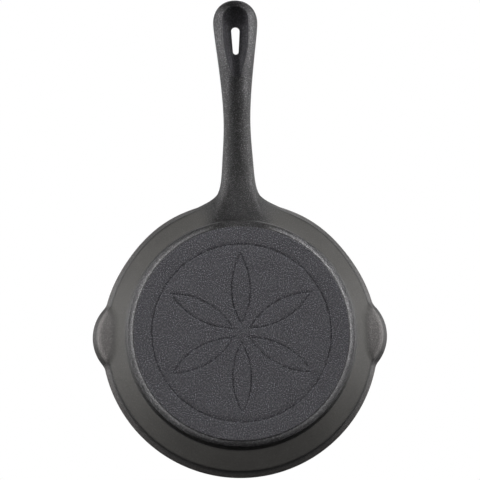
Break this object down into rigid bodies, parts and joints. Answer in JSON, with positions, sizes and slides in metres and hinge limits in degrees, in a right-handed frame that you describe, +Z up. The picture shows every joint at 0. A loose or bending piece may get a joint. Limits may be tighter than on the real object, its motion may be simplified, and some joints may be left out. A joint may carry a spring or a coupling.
{
  "type": "skillet",
  "caption": "Round cast iron frying pan with a flared wall, pouring lips, and a long rising handle that ends in a teardrop hollow with a slot to hang it by",
  "frame": {"origin": "the middle of the flat base that the pan stands on", "axes": "+Z up out of the pan's mouth; the handle points along -Y; the two pouring lips lie along +X and -X"},
  "size_m": [0.2132, 0.353, 0.0551],
  "materials": {
    "cast_iron": "sand-cast iron with a thin dark seasoning: grainy on the base, lips and handle, smoother on the wall"
  },
  "bodies": {
    "root": {"pan_floor": "cast_iron", "base_ring": "cast_iron", "side_wall": "cast_iron", "pouring_lip_right": "cast_iron", "pouring_lip_left": "cast_iron", "handle_root": "cast_iron", "handle_shank": "cast_iron", "handle_eye": "cast_iron"}
  },
  "joints": []
}
